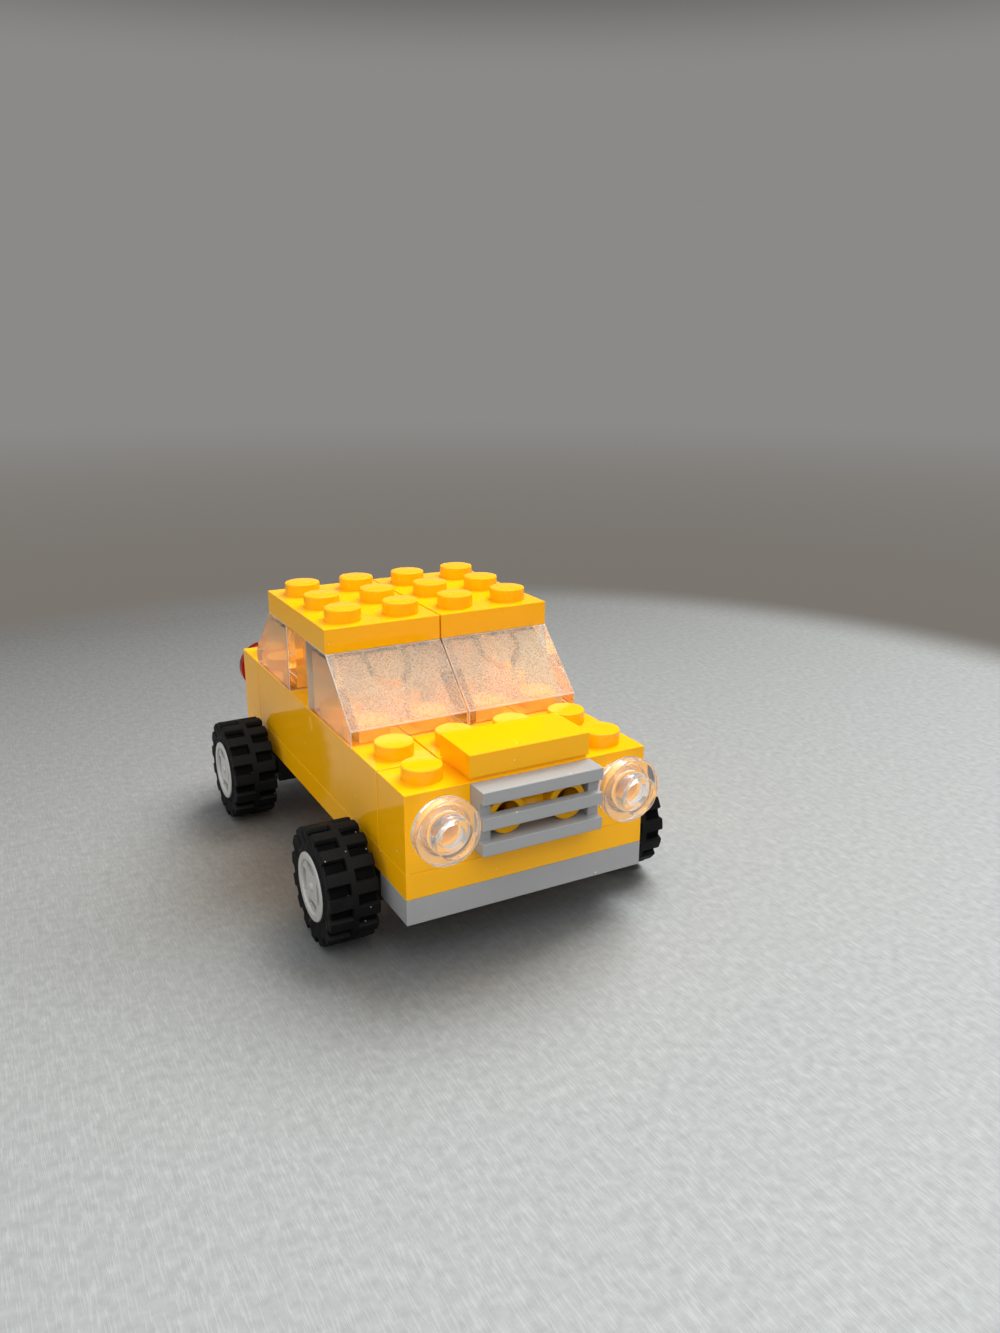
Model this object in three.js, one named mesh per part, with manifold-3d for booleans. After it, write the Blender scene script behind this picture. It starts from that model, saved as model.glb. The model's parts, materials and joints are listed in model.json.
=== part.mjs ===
// A brick-built toy car: studded plates and bricks, clear slopes as glass, round lights and rolling wheels.
// Millimetres. +Z is up, the car faces -Y, the ground is z = 0 and the origin lies under the car's middle.

import * as THREE from 'three';
import { mergeVertices } from 'three/addons/utils/BufferGeometryUtils.js';
import Module from 'manifold-3d';

const wasm = await Module();
wasm.setup();

// The stud grid that every piece is moulded to
const PITCH = 8; // from one stud to the next
const PLATE_H = 3.2; // a plate or a tile, without its studs
const BRICK_H = 9.6; // a brick or a slope, without its studs
const STUD_R = 2.4;
const STUD_H = 1.7;
const SIDE_PLAY = 0.1; // each outer wall stands this far inside its grid line
const CLUTCH_GAP = 0.05; // between a stud and the walls, tubes and pins that grip it
const HEADROOM = 0.5; // over a stud that is pushed into a hollow plate

// The car's plan, counted in studs
const WIDTH_STUDS = 4;
const SIDE_STUDS = 1; // width of a side brick
const AXLE_END_STUDS = 1; // solid end of an axle plate, which carries a wheel pin
const LIGHT_ROWS = 1; // depth of the light bricks and bumpers at both ends
const AXLE_ROWS = 1; // depth of an axle plate
const BONNET_ROWS = 2; // from the front to the windscreen
const SLOPE_ROWS = 2; // depth of a clear slope
const SIDE_WINDOW_ROWS = 1; // open gap between windscreen and rear window
const DECK_ROWS = 1; // from the rear window to the back

// Front and rear lights
const SIDE_STUD_DROP = 4; // from a light brick's top to the middle of its side studs
const SIDE_STUD_BORE_R = 1.6;
const LAMP_FOOT_R = 2.95;
const LAMP_FOOT_H = 1.6;
const LAMP_RIM_R = 3.95;
const LAMP_BORE_R = 1.5; // hollow under the lamp's own stud
const LAMP_BORE_ROOF = 1;

// Grille, tile and clear slopes
const GRILLE_BARS = 3;
const GRILLE_BAR_CLEARANCE = 0.2; // from the bars to the studs behind them
const GRILLE_END_RECESS = 1; // the end walls stand back behind the bars
const TILE_GROOVE_H = 0.4; // finger groove round a tile's foot
const TILE_GROOVE_D = 0.25;
const SLOPE_LIP_H = 2; // upright lip under a slope's face

// Wheels and axles
const AXLE_H = 1.1; // axle above the underside of its plate
const PIN_R = 1.55;
const PIN_HEAD_R = 1.7; // click ring on the pin's tip
const PIN_HEAD_L = 0.8;
const RUN_GAP = 0.08; // round the pin
const END_PLAY = 0.15; // along the pin
const COLLAR_R = 2;
const WHEEL_GAP = 1; // from the car's side to the hub
const TYRE_R = 7.2;
const TYRE_W = 6.1;
const TREAD_D = 0.8;
const TREAD_LUGS = 15; // in each of the two rows
const LUG_SHARE = 0.5; // of the pitch, at a lug's top
const LUG_DRAFT = 0.06; // of the pitch, wider on each side at a lug's root
const TREAD_RIB_W = 0.7; // band between the two rows, flush with the lugs
const HUB_PROUD = 0.15; // hub past the tyre on each side
const RIM_R = 4.23;
const RIM_FLANGE_T = 0.7;
const RIM_WALL = 0.9;
const BARREL_R = 3.8; // the tyre's seat between the flanges
const TYRE_FIT = 0.05; // round the hub
const WEB_T = 0.9;
const WEB_RECESS = 0.25; // from the rim's face back to the web
const BOSS_WALL = 0.5; // round the pin's click ring
const HUB_SLOTS = 4;
const HUB_SLOT_L = 2.8;
const HUB_SLOT_OUTER_R = 3.15;
const HUB_SLOT_W = 1.25;
const HUB_DOT_R = 0.5; // gate mark in the middle of the web
const HUB_DOT_H = 0.2;

// Facets of the round forms
const STUD_FACETS = 10;
const TUBE_FACETS = 8;
const POST_FACETS = 8;
const LAMP_FACETS = 12;
const WHEEL_FACETS = 12;

// Sizes that follow from those above
const LENGTH_STUDS = BONNET_ROWS + SLOPE_ROWS + SIDE_WINDOW_ROWS + SLOPE_ROWS + DECK_ROWS;
const BODY_ROWS = LENGTH_STUDS - 2 * LIGHT_ROWS;
const CORE_STUDS = WIDTH_STUDS - 2 * SIDE_STUDS;
const HALF_STUDS = WIDTH_STUDS / 2; // width of one slope or roof plate
const ROOF_ROWS = SIDE_WINDOW_ROWS + 2;
const WALL = PITCH / 2 - SIDE_PLAY - STUD_R - CLUTCH_GAP;
const CEILING = PLATE_H - STUD_H - HEADROOM;
const TUBE_R = PITCH / Math.SQRT2 - STUD_R - CLUTCH_GAP;
const TUBE_BORE_R = STUD_R;
const POST_R = PITCH / 2 - STUD_R - CLUTCH_GAP;
const HUB_W = TYRE_W + 2 * HUB_PROUD;
const WEB_INNER = HUB_W - WEB_RECESS - WEB_T;
const RIM_INNER_R = RIM_R - RIM_WALL;
const BOSS_R = PIN_HEAD_R + RUN_GAP + BOSS_WALL;
const SIDE_X = WIDTH_STUDS * PITCH / 2 - SIDE_PLAY;
const END_Y = LENGTH_STUDS * PITCH / 2 - SIDE_PLAY;
const BODY_Z = 2 * PLATE_H;
const GLASS_Z = BODY_Z + BRICK_H;
const ROOF_Z = GLASS_Z + BRICK_H;
const SIDE_STUD_Z = GLASS_Z - SIDE_STUD_DROP;
const RIDE_H = TYRE_R - AXLE_H;
const OVERCUT = PITCH; // how far a cutter runs out of the piece that it opens

// What each piece covers across the car, in studs from its right-hand side
const FULL = [0, WIDTH_STUDS];
const RIGHT_SIDE = [0, SIDE_STUDS];
const LEFT_SIDE = [WIDTH_STUDS - SIDE_STUDS, WIDTH_STUDS];
const CORE = [SIDE_STUDS, WIDTH_STUDS - SIDE_STUDS];
const RIGHT_HALF = [0, HALF_STUDS];
const LEFT_HALF = [HALF_STUDS, WIDTH_STUDS];
const BETWEEN_AXLE_ENDS = [AXLE_END_STUDS, WIDTH_STUDS - AXLE_END_STUDS];

// As many whole studs as fit in a width, in its middle
function studsIn(start, width) {
  const count = Math.floor(width);
  return Array.from({ length: count }, (_, i) => start + (width - count) / 2 + i + 0.5);
}

// Columns of studs that all pieces share, the left half a mirror of the right
const HALF_COLUMNS = [...studsIn(0, SIDE_STUDS), ...studsIn(SIDE_STUDS, CORE_STUDS / 2)];
const COLUMNS = [...HALF_COLUMNS, ...HALF_COLUMNS.map((column) => WIDTH_STUDS - column).reverse()];

const plastic = (color, roughness) => new THREE.MeshStandardMaterial({ color, roughness, metalness: 0 });
const yellowAbs = plastic(0xf6b40a, 0.25);
const greyAbs = plastic(0x97989b, 0.3);
const blackAbs = plastic(0x17181a, 0.35);
const hubAbs = plastic(0xb4b2ad, 0.4);
const tyreRubber = plastic(0x1d1e1f, 0.75);
const clearPlastic = plastic(0xf0dac6, 0.1);
const redPlastic = plastic(0xb5160f, 0.1);
clearPlastic.transparent = true;
clearPlastic.opacity = 0.4;
redPlastic.transparent = true;
redPlastic.opacity = 0.6;

// A closed three.js geometry as a solid that can be joined and cut
function solid(geometry) {
  geometry.deleteAttribute('normal');
  geometry.deleteAttribute('uv');
  const welded = mergeVertices(geometry);
  const index = welded.index.array;
  const triangles = [];
  for (let i = 0; i < index.length; i += 3) {
    const [a, b, c] = [index[i], index[i + 1], index[i + 2]];
    if (a !== b && b !== c && c !== a) triangles.push(a, b, c);
  }
  return new wasm.Manifold(new wasm.Mesh({
    numProp: 3,
    vertProperties: new Float32Array(welded.attributes.position.array),
    triVerts: new Uint32Array(triangles),
  }));
}

function box([x0, y0, z0], [x1, y1, z1]) {
  const geometry = new THREE.BoxGeometry(x1 - x0, y1 - y0, z1 - z0);
  return solid(geometry.translate((x0 + x1) / 2, (y0 + y1) / 2, (z0 + z1) / 2));
}

// An upright round bar on (x, y) from z0 to z1
function bar(x, y, z0, z1, radius, facets) {
  const geometry = new THREE.CylinderGeometry(radius, radius, z1 - z0, facets);
  return solid(geometry.rotateX(Math.PI / 2).translate(x, y, (z0 + z1) / 2));
}

// A round bar on the X axis, lying on one of its facets
function spindle(x0, x1, radius, facets) {
  const geometry = new THREE.CylinderGeometry(radius, radius, x1 - x0, facets, 1, false, Math.PI / facets);
  return solid(geometry.rotateZ(-Math.PI / 2).translate((x0 + x1) / 2, 0, 0));
}

// A turned form from [radius, height] pairs that start and end on the axis, running up its outside
function turned(profile, facets) {
  return new THREE.LatheGeometry(profile.map(([r, h]) => new THREE.Vector2(r, h)), facets);
}

// An outline in (y, z) drawn out along X
function drawnAlongX(points, x0, x1) {
  const outline = new THREE.Shape(points.map(([y, z]) => new THREE.Vector2(y, z)));
  const geometry = new THREE.ExtrudeGeometry(outline, { depth: x1 - x0, bevelEnabled: false });
  return solid(geometry.rotateY(Math.PI / 2).rotateX(Math.PI / 2).translate(x0, 0, 0));
}

// Radius whose facets, not only its corners, stay outside the given radius
const clearOf = (radius, facets) => radius / Math.cos(Math.PI / facets);

const joined = (solids) => solids.reduce((whole, piece) => whole.add(piece));

function mesh(name, piece, material) {
  const { numProp, vertProperties, triVerts } = piece.getMesh();
  const geometry = new THREE.BufferGeometry();
  geometry.setAttribute('position', new THREE.BufferAttribute(new Float32Array(vertProperties), numProp));
  geometry.setIndex(new THREE.BufferAttribute(new Uint32Array(triVerts), 1));
  geometry.computeVertexNormals();
  const made = new THREE.Mesh(geometry, material);
  made.name = name;
  return made;
}

// Pieces are made with their grid corner at the origin and their underside on z = 0

const widthOf = ([start, end]) => (end - start) * PITCH;
const columnsOf = ([start, end]) => COLUMNS.filter((at) => start < at && at < end).map((at) => at - start);
const gapsBetween = (places) => places.slice(1).map((place, i) => (places[i] + place) / 2);

// Every crossing of columns and rows
const crossings = (columns, rows) =>
  columns.flatMap((column) => rows.map((row) => [column * PITCH, row * PITCH]));

function studs(span, rows, top) {
  return crossings(columnsOf(span), studsIn(0, rows)).map(([x, y]) =>
    bar(x, y, top - CEILING / 2, top + STUD_H, STUD_R, STUD_FACETS));
}

function outerBox(span, rows, height) {
  return box([SIDE_PLAY, SIDE_PLAY, 0], [widthOf(span) - SIDE_PLAY, rows * PITCH - SIDE_PLAY, height]);
}

function hollow(span, rows, height) {
  const inset = SIDE_PLAY + WALL;
  return box([inset, inset, -OVERCUT], [widthOf(span) - inset, rows * PITCH - inset, height - CEILING]);
}

// What grips the studs below: tubes where four studs meet, thin posts in a piece one stud wide
function grips(span, rows, top) {
  const columns = columnsOf(span);
  const along = studsIn(0, rows);
  if (columns.length > 1 && along.length > 1) {
    return crossings(gapsBetween(columns), gapsBetween(along)).map(([x, y]) => {
      const tube = bar(x, y, 0, top - CEILING / 2, TUBE_R, TUBE_FACETS);
      return tube.subtract(bar(x, y, -OVERCUT, top - CEILING, TUBE_BORE_R, TUBE_FACETS));
    });
  }
  const across = columns.length > 1;
  const posts = across ? crossings(gapsBetween(columns), along) : crossings(columns, gapsBetween(along));
  return posts.map(([x, y]) => bar(x, y, 0, top - CEILING / 2, POST_R, POST_FACETS));
}

function shell(span, rows, height) {
  const walls = outerBox(span, rows, height).subtract(hollow(span, rows, height));
  return joined([walls, ...grips(span, rows, height)]);
}

function studded(span, rows, height) {
  return joined([shell(span, rows, height), ...studs(span, rows, height)]);
}

// Brick with a row of hollow side studs on its -Y face
function lightBrick() {
  const z = BRICK_H - SIDE_STUD_DROP;
  const outward = (radius, y0, y1, column) => {
    const geometry = new THREE.CylinderGeometry(radius, radius, y1 - y0, STUD_FACETS);
    return solid(geometry.translate(column * PITCH, (y0 + y1) / 2, z));
  };
  let brick = studded(FULL, LIGHT_ROWS, BRICK_H);
  for (const column of columnsOf(FULL)) {
    const stud = outward(STUD_R, SIDE_PLAY - STUD_H, SIDE_PLAY + WALL / 2, column);
    const bore = outward(SIDE_STUD_BORE_R, -OVERCUT, PITCH / 2, column);
    brick = brick.add(stud).subtract(bore);
  }
  return brick;
}

// Plate with a wheel pin out of each end; the two end cells are solid to carry the pins
function axlePlate() {
  const length = widthOf(FULL);
  const inward = [AXLE_END_STUDS * PITCH, 0, 0];
  const underside = hollow(BETWEEN_AXLE_ENDS, AXLE_ROWS, PLATE_H).translate(inward);
  const posts = grips(BETWEEN_AXLE_ENDS, AXLE_ROWS, PLATE_H).map((post) => post.translate(inward));
  const plate = outerBox(FULL, AXLE_ROWS, PLATE_H).subtract(underside);
  const tip = WHEEL_GAP + WEB_INNER - END_PLAY;
  const pin = joined([
    spindle(-WALL, tip, PIN_R, POST_FACETS),
    spindle(-WALL, WHEEL_GAP - END_PLAY, COLLAR_R, POST_FACETS),
    spindle(tip - PIN_HEAD_L, tip, PIN_HEAD_R, POST_FACETS),
  ]);
  const leftPin = pin.translate([length - SIDE_PLAY, PITCH / 2, AXLE_H]);
  const rightPin = leftPin.rotate([0, 0, 180]).translate([length, PITCH, 0]);
  return joined([plate, ...posts, ...studs(FULL, AXLE_ROWS, PLATE_H), leftPin, rightPin]);
}

// Smooth tile with a finger groove round its foot
function tile(span) {
  const length = widthOf(span);
  const inset = SIDE_PLAY + TILE_GROOVE_D;
  const around = box([-OVERCUT, -OVERCUT, -OVERCUT], [length + OVERCUT, PITCH + OVERCUT, TILE_GROOVE_H]);
  const core = box([inset, inset, -2 * OVERCUT], [length - inset, PITCH - inset, PITCH]);
  return shell(span, 1, PLATE_H).subtract(around.subtract(core));
}

// Tile of long bars with open slots between them; its walls grip the studs behind
function grille(span) {
  const length = widthOf(span);
  const inset = SIDE_PLAY + WALL;
  const barWidth = (PITCH - 2 * SIDE_PLAY) / (2 * GRILLE_BARS - 1);
  const barDepth = PLATE_H - STUD_H - GRILLE_BAR_CLEARANCE;
  const through = box([inset, inset, -OVERCUT], [length - inset, PITCH - inset, PITCH]);
  let piece = outerBox(span, 1, PLATE_H).subtract(through);
  for (let slot = 0; slot < GRILLE_BARS - 1; slot += 1) {
    const y = SIDE_PLAY + (2 * slot + 1) * barWidth;
    const low = [-OVERCUT, y, PLATE_H - GRILLE_END_RECESS];
    piece = piece.subtract(box(low, [length + OVERCUT, y + barWidth, PITCH]));
  }
  for (let rail = 1; rail < GRILLE_BARS - 1; rail += 1) {
    const y = SIDE_PLAY + 2 * rail * barWidth;
    piece = piece.add(box([SIDE_PLAY, y, PLATE_H - barDepth], [length - SIDE_PLAY, y + barWidth, PLATE_H]));
  }
  return piece;
}

// Clear slope whose face falls towards -Y; inside, it runs parallel to the face and clears the front studs
function slope(span) {
  const width = widthOf(span);
  const depth = SLOPE_ROWS * PITCH;
  const [front, back, crest] = [SIDE_PLAY, depth - SIDE_PLAY, depth - PITCH];
  const pitchOfFace = (BRICK_H - SLOPE_LIP_H) / (crest - front);
  const outline = [[front, 0], [back, 0], [back, BRICK_H], [crest, BRICK_H], [front, SLOPE_LIP_H]];
  const outer = drawnAlongX(outline, SIDE_PLAY, width - SIDE_PLAY);
  const inside = front + WALL;
  const overStuds = STUD_H + CLUTCH_GAP;
  const underTop = BRICK_H - CEILING;
  const insideCrest = inside + (underTop - overStuds) / pitchOfFace;
  const cavity = drawnAlongX([
    [inside, -OVERCUT], [back - WALL, -OVERCUT], [back - WALL, underTop],
    [insideCrest, underTop], [inside, overStuds],
  ], SIDE_PLAY + WALL, width - SIDE_PLAY - WALL);
  const tubes = grips(span, SLOPE_ROWS, BRICK_H).map((tube) => tube.intersect(outer));
  const topStuds = studs(span, 1, BRICK_H).map((stud) => stud.translate([0, crest, 0]));
  return joined([outer.subtract(cavity), ...tubes, ...topStuds]);
}

// Round clear plate pushed onto a side stud: foot, rim and a stud that is hollow from below
function lamp() {
  const socketTop = STUD_H + HEADROOM;
  const socketR = clearOf(STUD_R + CLUTCH_GAP, LAMP_FACETS);
  const boreTop = PLATE_H + STUD_H - LAMP_BORE_ROOF;
  return solid(turned([
    [0, boreTop], [LAMP_BORE_R, boreTop], [LAMP_BORE_R, socketTop], [socketR, socketTop], [socketR, 0],
    [clearOf(LAMP_FOOT_R, LAMP_FACETS), 0], [clearOf(LAMP_FOOT_R, LAMP_FACETS), LAMP_FOOT_H],
    [LAMP_RIM_R, LAMP_FOOT_H], [LAMP_RIM_R, PLATE_H], [STUD_R, PLATE_H], [STUD_R, PLATE_H + STUD_H],
    [0, PLATE_H + STUD_H],
  ], LAMP_FACETS).rotateX(Math.PI / 2));
}

// Wheels are made along X, with the hub's inner face on x = 0 and the outside towards +X

// The hub's outside between its two flanges, grown by a gap to cut the tyre's seat
function rimOutline(gap, inner, outer) {
  const flange = RIM_R + gap;
  const barrel = BARREL_R + gap;
  const seatStart = RIM_FLANGE_T + gap;
  const seatEnd = HUB_W - RIM_FLANGE_T - gap;
  return [[flange, inner], [flange, seatStart], [barrel, seatStart], [barrel, seatEnd], [flange, seatEnd],
    [flange, outer]];
}

function hub() {
  const bore = clearOf(PIN_R + RUN_GAP, WHEEL_FACETS);
  const pocket = clearOf(PIN_HEAD_R + RUN_GAP, WHEEL_FACETS);
  const pocketStart = WEB_INNER - PIN_HEAD_L - 2 * END_PLAY;
  const webFace = HUB_W - WEB_RECESS;
  const wheel = solid(turned([
    [0, WEB_INNER], [pocket, WEB_INNER], [pocket, pocketStart], [bore, pocketStart], [bore, 0],
    [BOSS_R, 0], [BOSS_R, WEB_INNER], [RIM_INNER_R, WEB_INNER], [RIM_INNER_R, 0],
    ...rimOutline(0, 0, HUB_W),
    [RIM_INNER_R, HUB_W], [RIM_INNER_R, webFace], [0, webFace],
  ], WHEEL_FACETS).rotateZ(-Math.PI / 2));
  const slotInner = HUB_SLOT_OUTER_R - HUB_SLOT_W;
  const slotHalf = HUB_SLOT_L / 2;
  const sector = box([WEB_INNER, -slotHalf, slotInner], [HUB_W + OVERCUT, slotHalf, HUB_SLOT_OUTER_R]);
  const slot = sector.intersect(spindle(WEB_INNER, HUB_W + OVERCUT, HUB_SLOT_OUTER_R, WHEEL_FACETS));
  let cut = wheel;
  for (let turn = 0; turn < HUB_SLOTS; turn += 1) {
    cut = cut.subtract(slot.rotate([360 * turn / HUB_SLOTS, 0, 0]));
  }
  return cut.add(spindle(WEB_INNER + WEB_T / 2, webFace + HUB_DOT_H, HUB_DOT_R, POST_FACETS));
}

// One row of tread lugs; each lug's top is a flat at the tyre's radius, and one lug points to `turn`
function treadRow(turn, start, end) {
  const pitch = 2 * Math.PI / TREAD_LUGS;
  const half = LUG_SHARE * pitch / 2;
  const foot = half + LUG_DRAFT * pitch;
  const topR = TYRE_R / Math.cos(half);
  const floorR = TYRE_R - TREAD_D;
  const outline = [];
  for (let lug = 0; lug < TREAD_LUGS; lug += 1) {
    const at = turn + lug * pitch;
    for (const [angle, radius] of [[-foot, floorR], [-half, topR], [half, topR], [foot, floorR]]) {
      outline.push([radius * Math.cos(at + angle), radius * Math.sin(at + angle)]);
    }
  }
  return drawnAlongX(outline, start, end);
}

// Tyre stretched between the hub's flanges: two rows of lugs, half a pitch apart, joined by a flush rib
function tyre() {
  const [start, end] = [HUB_PROUD, HUB_W - HUB_PROUD];
  const centre = (start + end) / 2;
  const down = -Math.PI / 2;
  const inner = treadRow(down + Math.PI / TREAD_LUGS, start, centre);
  const outer = treadRow(down, centre, end);
  const ribR = clearOf(TYRE_R, 2 * TREAD_LUGS);
  const rib = spindle(centre - TREAD_RIB_W / 2, centre + TREAD_RIB_W / 2, ribR, 2 * TREAD_LUGS);
  const seat = solid(turned([
    [0, -OVERCUT], ...rimOutline(TYRE_FIT, -OVERCUT, HUB_W + OVERCUT), [0, HUB_W + OVERCUT],
  ], WHEEL_FACETS).rotateZ(-Math.PI / 2));
  return joined([rib, inner, outer]).subtract(seat);
}

// The car, built up from the ground

const car = new THREE.Group();
const body = new THREE.Group();
body.position.z = RIDE_H;
car.add(body);

const gridX = (column) => (column - WIDTH_STUDS / 2) * PITCH;
const gridY = (row) => (row - LENGTH_STUDS / 2) * PITCH;

function place(piece, column, row, z) {
  piece.position.set(gridX(column), gridY(row), z);
  body.add(piece);
}

// A piece turned to face the back, with its far grid corner at the given place
function placeTurned(piece, column, row, z) {
  place(piece, column, row, z);
  piece.rotation.z = Math.PI;
}

const frontBumper = mesh('front_bumper_plate', studded(FULL, LIGHT_ROWS, PLATE_H), greyAbs);
const rearBumper = mesh('rear_bumper_plate', studded(FULL, LIGHT_ROWS, PLATE_H), greyAbs);
place(frontBumper, 0, 0, 0);
place(rearBumper, 0, LENGTH_STUDS - LIGHT_ROWS, 0);

const frontAxleRow = LIGHT_ROWS;
const rearAxleRow = LENGTH_STUDS - LIGHT_ROWS - AXLE_ROWS;
place(mesh('front_axle_plate', axlePlate(), blackAbs), 0, frontAxleRow, 0);
place(mesh('rear_axle_plate', axlePlate(), blackAbs), 0, rearAxleRow, 0);

place(mesh('base_plate', studded(FULL, LENGTH_STUDS, PLATE_H), yellowAbs), 0, 0, PLATE_H);

place(mesh('front_light_brick', lightBrick(), yellowAbs), 0, 0, BODY_Z);
placeTurned(mesh('rear_light_brick', lightBrick(), yellowAbs), WIDTH_STUDS, LENGTH_STUDS, BODY_Z);

const bodyBricks = [['right_side_brick', RIGHT_SIDE], ['left_side_brick', LEFT_SIDE], ['centre_brick', CORE]];
for (const [name, span] of bodyBricks) {
  place(mesh(name, studded(span, BODY_ROWS, BRICK_H), yellowAbs), span[0], LIGHT_ROWS, BODY_Z);
}

place(mesh('bonnet_tile', tile(CORE), yellowAbs), CORE[0], 0, GLASS_Z);

// A slope turned to the back covers the other half
const clearSlope = (name, span) => mesh(name, slope(span), clearPlastic);
place(clearSlope('right_windscreen', RIGHT_HALF), RIGHT_HALF[0], BONNET_ROWS, GLASS_Z);
place(clearSlope('left_windscreen', LEFT_HALF), LEFT_HALF[0], BONNET_ROWS, GLASS_Z);
placeTurned(clearSlope('right_rear_window', LEFT_HALF), RIGHT_HALF[1], LENGTH_STUDS - DECK_ROWS, GLASS_Z);
placeTurned(clearSlope('left_rear_window', RIGHT_HALF), LEFT_HALF[1], LENGTH_STUDS - DECK_ROWS, GLASS_Z);

const roofRow = BONNET_ROWS + SLOPE_ROWS - 1;
for (const [name, span] of [['right_roof_plate', RIGHT_HALF], ['left_roof_plate', LEFT_HALF]]) {
  place(mesh(name, studded(span, ROOF_ROWS, PLATE_H), yellowAbs), span[0], roofRow, ROOF_Z);
}

// Pieces on the side studs stand on the end faces, turned so that their top looks outward
const grillePiece = mesh('grille_tile', grille(CORE), greyAbs);
grillePiece.rotation.x = Math.PI / 2;
grillePiece.position.set(gridX(CORE[0]), -END_Y, SIDE_STUD_Z - PITCH / 2);
body.add(grillePiece);

for (const [side, column] of [['right', COLUMNS.at(0)], ['left', COLUMNS.at(-1)]]) {
  const x = gridX(column);
  const headlight = mesh(`${side}_headlight`, lamp(), clearPlastic);
  headlight.rotation.x = Math.PI / 2;
  headlight.position.set(x, -END_Y, SIDE_STUD_Z);
  const tailLight = mesh(`${side}_tail_light`, lamp(), redPlastic);
  tailLight.rotation.x = -Math.PI / 2;
  tailLight.position.set(x, END_Y, SIDE_STUD_Z);
  body.add(headlight, tailLight);
}

// Wheels turn on the pins of the axle plates; the right-hand ones are turned about to face outward
for (const [end, row] of [['front', frontAxleRow], ['rear', rearAxleRow]]) {
  for (const [side, sign] of [['right', -1], ['left', 1]]) {
    const wheel = new THREE.Group();
    wheel.position.set(sign * (SIDE_X + WHEEL_GAP), gridY(row + AXLE_ROWS / 2), TYRE_R);
    wheel.rotation.z = sign < 0 ? Math.PI : 0;
    wheel.add(mesh(`${end}_${side}_hub`, hub(), hubAbs), mesh(`${end}_${side}_tyre`, tyre(), tyreRubber));
    car.add(wheel);
  }
}

export default car;
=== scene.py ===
"""Looks of a small toy car built of moulded plates and bricks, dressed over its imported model."""
import json
import math

import bmesh
import bpy
from mathutils import Matrix, Vector


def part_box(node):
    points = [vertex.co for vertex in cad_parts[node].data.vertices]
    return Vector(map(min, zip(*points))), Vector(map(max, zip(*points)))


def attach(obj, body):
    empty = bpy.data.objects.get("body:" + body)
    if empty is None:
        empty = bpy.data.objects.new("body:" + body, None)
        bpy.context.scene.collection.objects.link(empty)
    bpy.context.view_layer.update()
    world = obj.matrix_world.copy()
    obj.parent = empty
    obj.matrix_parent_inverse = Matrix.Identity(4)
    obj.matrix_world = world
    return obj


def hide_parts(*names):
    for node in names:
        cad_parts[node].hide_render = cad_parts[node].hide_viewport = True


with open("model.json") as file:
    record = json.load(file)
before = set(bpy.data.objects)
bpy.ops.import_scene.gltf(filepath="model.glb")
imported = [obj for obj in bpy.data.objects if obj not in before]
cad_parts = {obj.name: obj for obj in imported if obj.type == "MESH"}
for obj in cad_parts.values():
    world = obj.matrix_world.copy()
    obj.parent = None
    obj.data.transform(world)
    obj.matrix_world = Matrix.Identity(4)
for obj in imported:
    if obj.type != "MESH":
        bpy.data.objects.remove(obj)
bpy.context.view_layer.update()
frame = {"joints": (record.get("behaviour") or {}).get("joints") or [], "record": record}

# Bumper plates
# Light grey plates, one stud deep and four wide, under both ends of the car. They are injection-moulded
# ABS: hard, glossy and slightly wavy, with edges nearly as sharp as the steel mould. Studs hold them on.

MM = 0.001  # shapes are drawn in millimetres and shown in metres
PITCH = 8.0  # from one stud to the next
STUD_R = 2.4
STUD_H = 1.7
STUD_ROUNDING = 0.22
STUD_FACETS = 48
EDGE = 0.09  # rounding of a moulded edge
EDGE_STEPS = 3
WALL = 1.45
CEILING = 1.0
TUBE_R = 3.2
TUBE_BORE_R = 2.4
POST_R = 1.55
GRIP_FACETS = 32
ROOT = 0.4  # how deep a stud or a tube is sunk into what it grows from
OVERCUT = 3.0  # how far a cutter runs out of the piece
SHARP = math.radians(38)  # an edge that bends more than this is a crease
ON_AXIS = 1e-6  # a point nearer than this to the axis that it turns about lies on it
CAR_WIDTH_STUDS = 4
FLOW_PATCH = 11.0  # patches of slightly other shade, where the melt flowed
SINK_PATCH = 6.0  # from one sink mark to the next
SINK_D = 0.02
DUST_SPACING = 2.6
DUST_R = 0.11  # coarser than real dust, so that it shows
DUST_CORE = 0.7  # of a grain's radius, inside which it covers what is below
SCRATCH_W = 0.12  # wider than real hairlines, so that they show
SCRATCH_D = 0.003
SCRATCH_SPARSE = 0.76  # the nearer to 1, the fewer the lines
SCRATCH_FADE = 0.06
SCRATCH_SETS = (((0.5, 0.3, 0.9), 5.0), ((1.2, 0.8, 0.2), 4.0))  # turn in radians, length of a line
WORN = 0.25  # how much rougher a scratch or a grain of dust is
ABS_IOR = 1.54
ABS_SHEEN = 0.27  # 0.5 would be the full gloss of that IOR

record = frame["record"]
body_of = {node: body for body, nodes in record["behaviour"]["bodies"].items() for node in nodes}
car = bpy.data.collections.new("car")
bpy.context.scene.collection.children.link(car)


def node_box(node):
    """Lowest and highest corner of a CAD node, in millimetres."""
    low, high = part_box(node)
    return low / MM, high / MM


def to_mesh(form):
    """A finished bmesh as a mesh, with its faces turned outward."""
    bmesh.ops.recalc_face_normals(form, faces=form.faces[:])
    made = bpy.data.meshes.new("form")
    form.to_mesh(made)
    form.free()
    return made


def rounded_box(low, high, edge=EDGE):
    """A box between two corners with all its edges rounded."""
    form = bmesh.new()
    bmesh.ops.create_cube(form, size=1)
    for vert in form.verts:
        vert.co = [a + (b - a) * (c + 0.5) for a, b, c in zip(low, high, vert.co)]
    if edge:
        bmesh.ops.bevel(form, geom=form.edges[:], offset=edge, segments=EDGE_STEPS, profile=0.5,
                        affect="EDGES")
    return to_mesh(form)


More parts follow.
